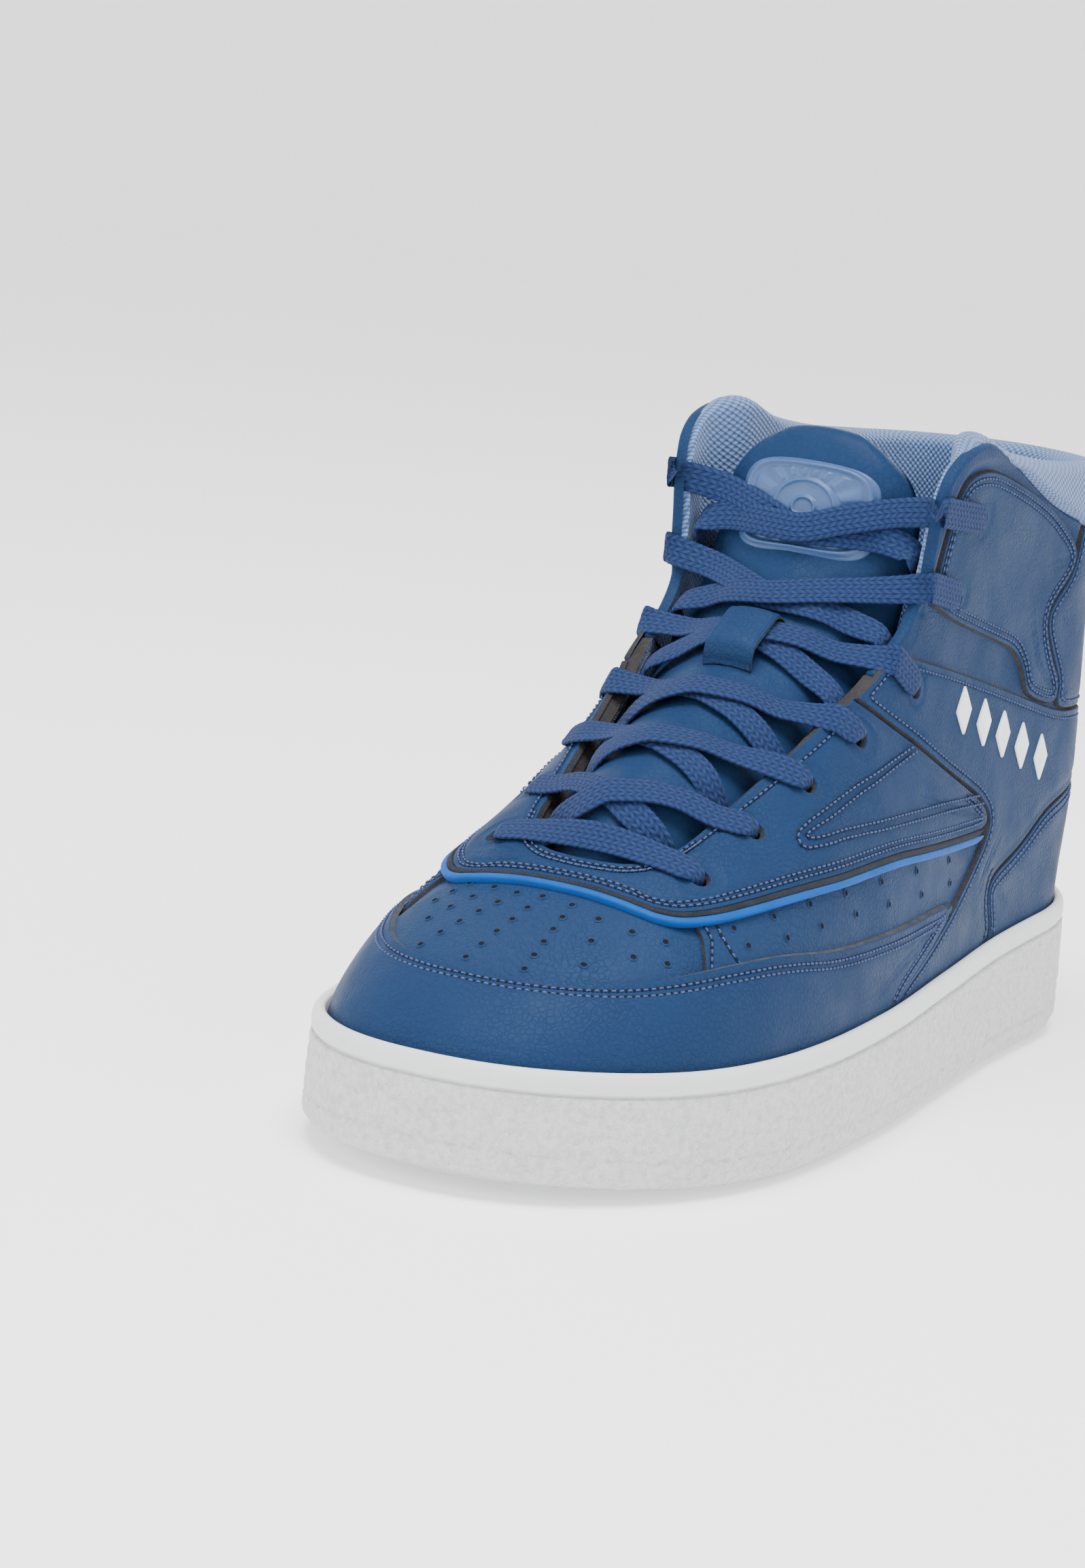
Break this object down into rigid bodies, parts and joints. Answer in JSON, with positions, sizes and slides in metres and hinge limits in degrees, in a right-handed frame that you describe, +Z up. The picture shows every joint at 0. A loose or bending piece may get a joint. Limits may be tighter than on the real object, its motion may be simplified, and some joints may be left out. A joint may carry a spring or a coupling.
{
  "type": "high top shoe",
  "caption": "Laced leather high top shoe for the left foot with a padded ankle collar, padded tongue, flat lace and moulded rubber cup sole.",
  "frame": {"origin": "on the ground under the middle of the sole's bounding box", "axes": "+X from heel to toe, +Y to the wearer's left, which is the outer side, +Z up"},
  "size_m": [0.3054, 0.1132, 0.1635],
  "materials": {
    "sole_rubber": "matt white moulded rubber",
    "midsole_foam": "closed cell foam",
    "board": "stitched fibre board",
    "sockliner_foam": "soft foam",
    "sockliner_cloth": "light blue textile",
    "stiffener": "moulded stiffener",
    "blue_leather": "semi matt grained leather",
    "tongue_leather": "smooth padded leather",
    "mesh_lining": "light blue spacer mesh",
    "padding": "open cell foam",
    "dark_edge": "dark foam edge",
    "bright_trim": "bright blue felt",
    "lace_cloth": "flat woven lace",
    "emblem": "embossed soft plastic",
    "white_print": "raised white print"
  },
  "bodies": {
    "shoe": {"cupsole": "sole_rubber", "midsole_foam": "midsole_foam", "lasting_board": "board", "toe_rand": "blue_leather", "vamp": "blue_leather", "eyestay": "blue_leather", "eyestay_foam_edge": "dark_edge", "eyestay_trim": "bright_trim", "side_panel_lateral": "blue_leather", "side_panel_medial": "blue_leather", "quarter_lateral": "blue_leather", "quarter_medial": "blue_leather", "quarter_overlay_lateral": "blue_leather", "quarter_overlay_medial": "blue_leather", "collar_overlay_lateral": "blue_leather", "collar_overlay_medial": "blue_leather", "heel_panel": "blue_leather", "rear_panel": "blue_leather", "toe_puff": "stiffener", "heel_counter": "stiffener", "vamp_lining": "mesh_lining", "collar_lining": "mesh_lining", "collar_foam": "padding", "collar_roll": "mesh_lining", "tongue_lower_leather": "tongue_leather", "tongue_lower_foam": "padding", "tongue_lower_lining": "mesh_lining", "lace": "lace_cloth", "lace_keeper": "tongue_leather", "side_mark": "white_print"},
    "tongue_top": {"tongue_upper_leather": "tongue_leather", "tongue_upper_foam": "padding", "tongue_upper_lining": "mesh_lining", "tongue_emblem": "emblem"},
    "sockliner": {"sockliner_foam": "sockliner_foam", "sockliner_cover": "sockliner_cloth"}
  },
  "joints": [
    {"name": "tongue_tilt", "type": "hinge", "parent": "shoe", "child": "tongue_top", "pos_m": [-0.0137, 0.0014, 0.1101], "axis": [0, -1, 0], "range_deg": [0, 7], "stiffness_Nm_per_rad": 0.05, "springref_deg": -8.59},
    {"name": "sockliner_lift", "type": "hinge", "parent": "shoe", "child": "sockliner", "pos_m": [0.1415, 0.0014, 0.0268], "axis": [0, 1, 0], "range_deg": [0, 8]}
  ]
}
